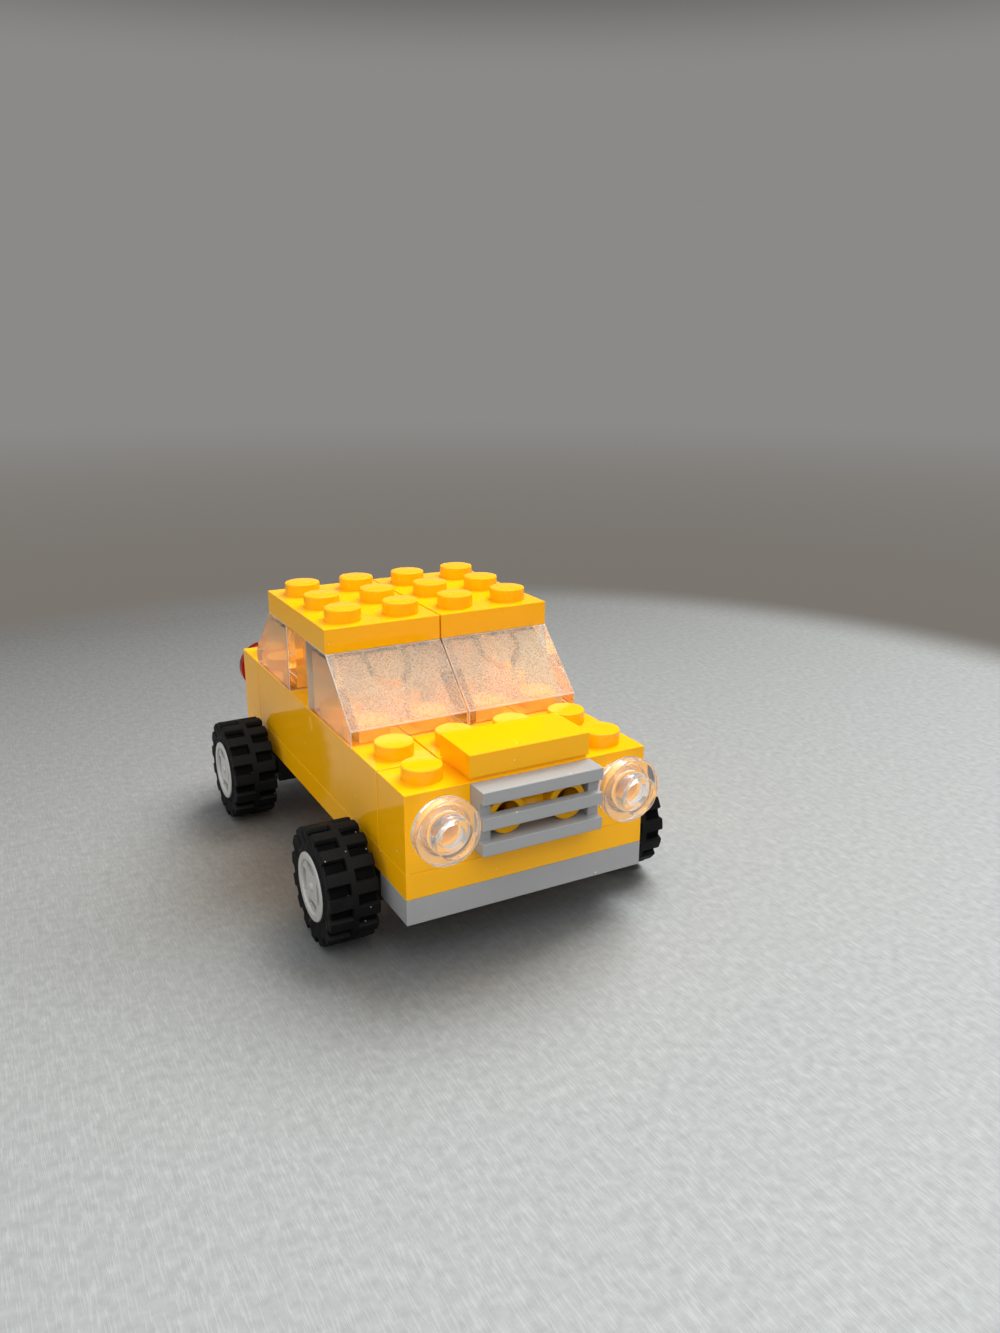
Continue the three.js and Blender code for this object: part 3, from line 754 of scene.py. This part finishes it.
TYRE_R = 7.2
TREAD_D = 0.8
LUGS = 15
HALF_STEP = 0.5  # of a lug's pitch, by which one row is turned against the other
LUG_SHARE = 0.5  # of the pitch, at a lug's top
LUG_DRAFT = 0.06  # of the pitch, by which a lug's wall leans
LUG_ROUNDING = 0.02  # of the lug's pitch, at the top and foot of its walls
RIB_HALF = 0.35
RIB_SLOPE = 0.15
SHOULDER = 0.25
TYRE_FIT = 0.05
SIDEWALL_DISH = 0.22
GROOVE_FLOOR = 0.5  # a face that lies deeper than this in the tread is a groove's
GROOVES = 1  # place of the grooves' finish among those that show gets
DISH_FULL = 0.6  # of the way in from the tread's edge, where the sidewall is dished most
DISH_ENDS = (0.75, 0.95)  # of that way, over which the dish runs out
WALL_SHARES = (0.25, 0.5, 0.75, 0.93)  # of that way, where the sidewall gets points
SHOULDER_TURNS = (0, 22, 45, 67, 90)  # degrees round the shoulder, where it gets points
# Shares of a lug's pitch where the tread gets points, mirrored at its half
TREAD_STEPS = (0, 0.1, 0.19, 0.21, 0.23, 0.25, 0.27, 0.29, 0.31, 0.4)
RUBBER_IOR = 1.52
RUBBER_GRAIN = 0.2  # coarser than the real grain, so that it shows
RUBBER_GRAIN_D = 0.03
DUST_PATCH = 2.5
DUSTY_FROM = 0.5  # level of the cloudy noise at which dust begins
DUSTY_FULL = 0.75
LINT = "#8f8d88"
LINT_SPACING = 1.6
LINT_R = 0.1  # coarser than real lint, so that it shows
NOISE_LOW = 0.3  # most of a cloudy noise lies between these levels
NOISE_HIGH = 0.7
RUBBER_SMOOTH = 0.55  # roughness where the rubber is rubbed smooth
RUBBER_MATT = 0.75


def ramp(value, start, end):
    """0 before start, 1 after end, smooth between."""
    t = min(max((value - start) / (end - start), 0), 1)
    return t * t * (3 - 2 * t)


def lug_height(turn):
    """Height of the outer row's tread, as a share, at a turn counted in lugs from the middle of one."""
    away = abs(turn - round(turn))
    top = LUG_SHARE / 2 - LUG_ROUNDING
    return 1 - ramp(away, top, top + LUG_DRAFT + 2 * LUG_ROUNDING)


def tread_radius(turn, across, half):
    """Radius of the tread at a place across it, measured outward from the middle."""
    row = lug_height(turn if across > 0 else turn + HALF_STEP)
    rib = 1 - ramp(abs(across), RIB_HALF, RIB_HALF + RIB_SLOPE)
    radius = TYRE_R - TREAD_D + TREAD_D * max(row, rib)
    inside = max(SHOULDER - (half - abs(across)), 0)
    return radius - SHOULDER + math.sqrt(SHOULDER ** 2 - inside ** 2)


def tyre_form(width, hub_width):
    """A tyre along +X about the origin, one outer lug pointing down."""
    half = width / 2
    flange = RIM_R + TYRE_FIT
    barrel = BARREL_R + TYRE_FIT
    seat = hub_width / 2 - FLANGE_T - TYRE_FIT
    near_rib = [0, RIB_HALF / 2, RIB_HALF, RIB_HALF + RIB_SLOPE / 2, RIB_HALF + RIB_SLOPE]
    near_edge = [half - SHOULDER * (1 - math.sin(math.radians(a))) for a in SHOULDER_TURNS]
    one_side = [*near_rib, (near_rib[-1] + near_edge[0]) / 2, *near_edge]
    across = [-a for a in reversed(one_side[1:])] + one_side
    steps = [*TREAD_STEPS, HALF_STEP, *[1 - s for s in reversed(TREAD_STEPS[1:])]]
    turns = [lug + step for lug in range(LUGS) for step in steps]
    form = bmesh.new()
    rings = []
    for turn in turns:
        tread = [(a, tread_radius(turn, a, half)) for a in across]
        edge = tread[-1][1]
        wall = []
        for share in WALL_SHARES:
            dish = SIDEWALL_DISH * ramp(share, 0, DISH_FULL) * (1 - ramp(share, *DISH_ENDS))
            wall.append((half - dish, edge + (flange - edge) * share))
        inner_edge = tread[0][1]
        stretch = (inner_edge - flange) / (edge - flange)
        inner_wall = [(-a, inner_edge + (r - edge) * stretch) for a, r in wall]
        bead = [(half, flange), (seat, flange), (seat, barrel),
                (-seat, barrel), (-seat, flange), (-half, flange)]
        angle = 2 * math.pi * turn / LUGS - math.pi / 2
        ring = [*tread, *wall, *bead, *reversed(inner_wall)]
        rings.append([form.verts.new((x, r * math.cos(angle), r * math.sin(angle))) for x, r in ring])
    count = len(rings[0])
    for ring, after in zip(rings, rings[1:] + rings[:1]):
        for k in range(count):
            form.faces.new((ring[k], ring[(k + 1) % count], after[(k + 1) % count], after[k]))
    made = to_mesh(form)
    for face in made.polygons:
        radius = math.hypot(face.center.y, face.center.z)
        # groove floors take the darker, less glossy rubber: painted shade in the recesses
        if abs(face.center.x) < half - SHOULDER and RIM_R + TYRE_FIT < radius < TYRE_R - GROOVE_FLOOR:
            face.material_index = GROOVES
    return made


def moulded_rubber(name, colour, dusty, sheen):
    """Soft black rubber: matt and finely grained, grey with dust in places, with pale lint caught on it."""
    material, tree = new_material(name)
    place = add(tree, "TexCoord").outputs["Object"]
    cloud = add(tree, "TexNoise", {"Vector": place, "Scale": per_mm(DUST_PATCH), "Detail": 4})
    dust = add(tree, "MapRange", {
        "Value": cloud.outputs["Fac"], "From Min": DUSTY_FROM, "From Max": DUSTY_FULL,
        "To Min": 0, "To Max": 1,
    })
    tint = add(tree, "MixRGB", {
        "Fac": dust.outputs["Result"], "Color1": linear(colour), "Color2": linear(dusty),
    })
    lint = specks(tree, place, LINT_SPACING, LINT_R)
    tint = add(tree, "MixRGB", {"Fac": lint, "Color1": tint.outputs["Color"], "Color2": linear(LINT)})
    gloss = add(tree, "MapRange", {
        "Value": cloud.outputs["Fac"], "From Min": NOISE_LOW, "From Max": NOISE_HIGH,
        "To Min": RUBBER_SMOOTH, "To Max": RUBBER_MATT,
    })
    grain = add(tree, "TexNoise", {"Vector": place, "Scale": per_mm(RUBBER_GRAIN), "Detail": 2})
    relief = add(tree, "Bump", {
        "Height": grain.outputs["Fac"], "Distance": RUBBER_GRAIN_D * MM, "Strength": 1,
    })
    rubber = add(tree, "BsdfPrincipled", {
        "Base Color": tint.outputs["Color"], "Roughness": gloss.outputs["Result"],
        "Normal": relief.outputs["Normal"], "IOR": RUBBER_IOR, "Specular IOR Level": sheen,
    })
    add(tree, "OutputMaterial", {"Surface": rubber.outputs["BSDF"]})
    return material


rubber = moulded_rubber("black rubber, lugs and sidewalls", colour="#0a0b0b", dusty="#141414", sheen=0.13)
# The grooves' rubber is darker and less glossy than the rest: painted shade in the recesses.
groove_rubber_painted_shade = moulded_rubber("black rubber, grooves in painted shade", colour="#040505", dusty="#0a0a0a", sheen=0.04)
for wheel in wheels:
    low, high = node_box(wheel + "_tyre")
    hub_low, hub_high = node_box(wheel + "_hub")
    middle = (hub_low + hub_high) / 2
    tyre = tyre_form(high.x - low.x, hub_high.x - hub_low.x)
    facing = 0 if middle.x > 0 else 180
    tyre.transform(Matrix.Translation(middle) @ Matrix.Rotation(math.radians(facing), 4, "Z"))
    show(wheel + "_tyre", tyre, rubber, groove_rubber_painted_shade)

# Floor and light
# A pale sheet of paper that is painted grey toward the back, as painted shade where the light falls off, and
# turns into a self-lit backdrop, which dims higher up.
# One soft lamp stands high at the car's left rear. Two more, in front and at its right, light only the car,
# and a faint even light comes from all round. The paper bounces a lighter colour onto the car than it shows:
# painted bounce light.

FLOOR_HALF = 3.0  # metres, as are the places on the floor and those of the lamps
FLOOR_CELLS = 8
# The paper's tint is pale in front and grey behind: painted shade where the light falls off.
PALE_Y = -0.09  # the paper is pale up to here
GREY_Y = 0.14  # and grey from here
PULP = 1.2  # millimetres, as are the sizes of the fibres
FIBRE_W = 0.22  # wider than real fibres, so that they show
FIBRE_L = 3.0
FIBRE_D = 0.03
FIBRE_SPARSE = 0.6
FIBRE_SHARE = 0.25  # of the mottling that fibres add to the pulp's
FIBRE_TURNS = (0.3, 1.4, 2.4)
MOTTLE_FROM = 0.3  # level of pulp and fibres at which the paper is darkest
MOTTLE_FULL = 0.9
MOTTLE_DARK = 0.88
MOTTLE_PALE = 1.14
PAPER_ROUGHNESS = 0.8
WALL_FROM = 0.14  # from the car's middle to where the paper begins to turn into backdrop
WALL_FULL = 0.168
WALL_FAR = 0.8
HORIZON_LIGHT = 0.06
ZENITH_LIGHT = 0.33
DIM_FROM = 0.2  # sine of the height at which the backdrop begins to dim
DIM_FULL = 0.3
CEILING_FROM = 0.48  # sine of the height at which it turns into a white ceiling
CEILING_FULL = 0.75
NOT_SPREAD = 0.5  # a ray that has met no matt surface has a smaller diffuse depth

bpy.ops.mesh.primitive_grid_add(x_subdivisions=FLOOR_CELLS, y_subdivisions=FLOOR_CELLS,
                                size=2 * FLOOR_HALF)
floor = bpy.context.object
floor.name = "paper_floor"
paper, tree = new_material("pale paper")
place = add(tree, "TexCoord").outputs["Object"]
pulp = add(tree, "TexNoise", {"Vector": place, "Scale": per_mm(PULP), "Detail": 5})
fibres = [hairlines(tree, place, (0, 0, turn), FIBRE_W, FIBRE_L, FIBRE_SPARSE) for turn in FIBRE_TURNS]
fibre = add(tree, "Math", {0: fibres[0], 1: fibres[1]}, operation="MAXIMUM")
fibre = add(tree, "Math", {0: fibre.outputs[0], 1: fibres[2]}, operation="MAXIMUM")
fibre = add(tree, "Math", {
    0: fibre.outputs[0], 1: FIBRE_SHARE, 2: pulp.outputs["Fac"],
}, operation="MULTIPLY_ADD")
# painted shade: the tint darkens toward the back, where the light falls off
painted_falloff = add(tree, "MapRange", {
    "Value": add(tree, "SeparateXYZ", {"Vector": place}).outputs["Y"], "From Min": PALE_Y, "From Max": GREY_Y,
    "To Min": 0, "To Max": 1,
})
tint = add(tree, "MixRGB", {
    "Fac": painted_falloff.outputs["Result"], "Color1": linear("#eef2f1"), "Color2": linear("#868582"),
})
mottled = add(tree, "MapRange", {
    "Value": fibre.outputs[0], "From Min": MOTTLE_FROM, "From Max": MOTTLE_FULL,
    "To Min": MOTTLE_DARK, "To Max": MOTTLE_PALE,
})
tint = add(tree, "VectorMath", {
    0: tint.outputs["Color"], "Scale": mottled.outputs["Result"],
}, operation="SCALE")
# light that bounces off the paper takes a lighter colour than the paper shows: painted bounce light
tint = add(tree, "MixRGB", {
    "Fac": add(tree, "LightPath").outputs["Is Diffuse Ray"], "Color1": tint.outputs["Vector"],
    "Color2": linear("#e6e7e7"),
})
relief = add(tree, "Bump", {"Height": fibre.outputs[0], "Distance": FIBRE_D * MM, "Strength": 1})
sheet = add(tree, "BsdfPrincipled", {
    "Base Color": tint.outputs["Color"], "Roughness": PAPER_ROUGHNESS, "Normal": relief.outputs["Normal"],
})
distance = add(tree, "VectorMath", {0: place}, operation="LENGTH")
outer = add(tree, "MapRange", {
    "Value": distance.outputs["Value"], "From Min": WALL_FROM, "From Max": WALL_FAR,
    "To Min": 0, "To Max": 1,
}, interpolation_type="SMOOTHSTEP")
wall_tint = add(tree, "MixRGB", {
    "Fac": outer.outputs["Result"], "Color1": linear("#7a756f"), "Color2": linear("#8b8a88"),
})
wall = add(tree, "Emission", {"Color": wall_tint.outputs["Color"], "Strength": 1})
edge = add(tree, "MapRange", {
    "Value": distance.outputs["Value"], "From Min": WALL_FROM, "From Max": WALL_FULL,
    "To Min": 0, "To Max": 1,
}, interpolation_type="SMOOTHSTEP")
ground = add(tree, "MixShader", {
    0: edge.outputs["Result"], 1: sheet.outputs["BSDF"], 2: wall.outputs["Emission"],
})
add(tree, "OutputMaterial", {"Surface": ground.outputs["Shader"]})
floor.data.materials.append(paper)

world = bpy.data.worlds.new("studio")
bpy.context.scene.world = world
world.use_nodes = True
world.node_tree.nodes.clear()
sky = world.node_tree
rays = add(sky, "LightPath")
seen = add(sky, "Math", {
    0: rays.outputs["Is Camera Ray"], 1: rays.outputs["Is Glossy Ray"],
}, operation="MAXIMUM")
seen = add(sky, "Math", {0: seen.outputs[0], 1: rays.outputs["Is Transmission Ray"]}, operation="MAXIMUM")
unspread = add(sky, "Math", {0: rays.outputs["Diffuse Depth"], 1: NOT_SPREAD}, operation="LESS_THAN")
seen = add(sky, "Math", {0: seen.outputs[0], 1: unspread.outputs[0]}, operation="MULTIPLY")
height = add(sky, "SeparateXYZ", {"Vector": add(sky, "TexCoord").outputs["Generated"]})
overhead = add(sky, "MapRange", {
    "Value": height.outputs["Z"], "From Min": 0, "From Max": 1,
    "To Min": HORIZON_LIGHT, "To Max": ZENITH_LIGHT,
})
light = add(sky, "Background", {"Color": linear("#fdfeff"), "Strength": overhead.outputs["Result"]})
ceiling = add(sky, "MapRange", {
    "Value": height.outputs["Z"], "From Min": CEILING_FROM, "From Max": CEILING_FULL,
    "To Min": 0, "To Max": 1,
}, interpolation_type="SMOOTHSTEP")
upper = add(sky, "MapRange", {
    "Value": height.outputs["Z"], "From Min": DIM_FROM, "From Max": DIM_FULL, "To Min": 0, "To Max": 1,
}, interpolation_type="SMOOTHSTEP")
around = add(sky, "MixRGB", {
    "Fac": upper.outputs["Result"], "Color1": linear("#8b8a88"), "Color2": linear("#4c4b4a"),
})
room = add(sky, "MixRGB", {
    "Fac": ceiling.outputs["Result"], "Color1": around.outputs["Color"], "Color2": linear("#ffffff"),
})
backdrop = add(sky, "Background", {"Color": room.outputs["Color"], "Strength": 1})
glow = add(sky, "MixShader", {0: seen.outputs[0], 1: light.outputs[0], 2: backdrop.outputs[0]})
add(sky, "OutputWorld", {"Surface": glow.outputs[0]})

for name, place, size, power, lit in (
    ("key_lamp", (0.30, 0.16, 0.50), 0.4, 2.8, None),
    ("front_lamp", (-0.12, -0.40, 0.42), 0.6, 2.9, car),
    ("side_lamp", (-0.50, 0.10, 0.30), 0.6, 1.1, car),
):
    lamp = bpy.data.lights.new(name, "AREA")
    lamp.size = size
    lamp.energy = power
    holder = bpy.data.objects.new(name, lamp)
    holder.location = place
    holder.visible_glossy = lit is not None
    holder.light_linking.receiver_collection = lit
    holder.rotation_euler = (-Vector(place)).to_track_quat("-Z", "Y").to_euler()
    bpy.context.scene.collection.objects.link(holder)

bpy.context.scene.view_settings.view_transform = "Standard"

# Camera
# It stands where the photograph was taken from: low, in front of the car's right-hand corner. Its place,
# aim and focal length were solved from corners of the bricks on the stud grid.

SENSOR = 36.0
FOCAL_PX = 1063.99
PHOTO_W = 1000
STAND = Vector((-57.05, -129.72, 70.07))
AZIMUTH = -28.416
DOWNWARD = 17.438
ROLL = 0.19
NEAREST = 5.0  # what is nearer to the lens than this isn't drawn

camera = bpy.data.cameras.new("photo_camera")
camera.sensor_fit = "HORIZONTAL"
camera.sensor_width = SENSOR
camera.lens = FOCAL_PX * SENSOR / PHOTO_W
camera.clip_start = NEAREST * MM
eye = bpy.data.objects.new("photo_camera", camera)
aim = Matrix.Rotation(math.radians(AZIMUTH), 4, "Z") @ Matrix.Rotation(math.radians(90 - DOWNWARD), 4, "X")
eye.matrix_world = Matrix.Translation(STAND * MM) @ aim @ Matrix.Rotation(math.radians(ROLL), 4, "Z")
bpy.context.scene.collection.objects.link(eye)
bpy.context.scene.camera = eye
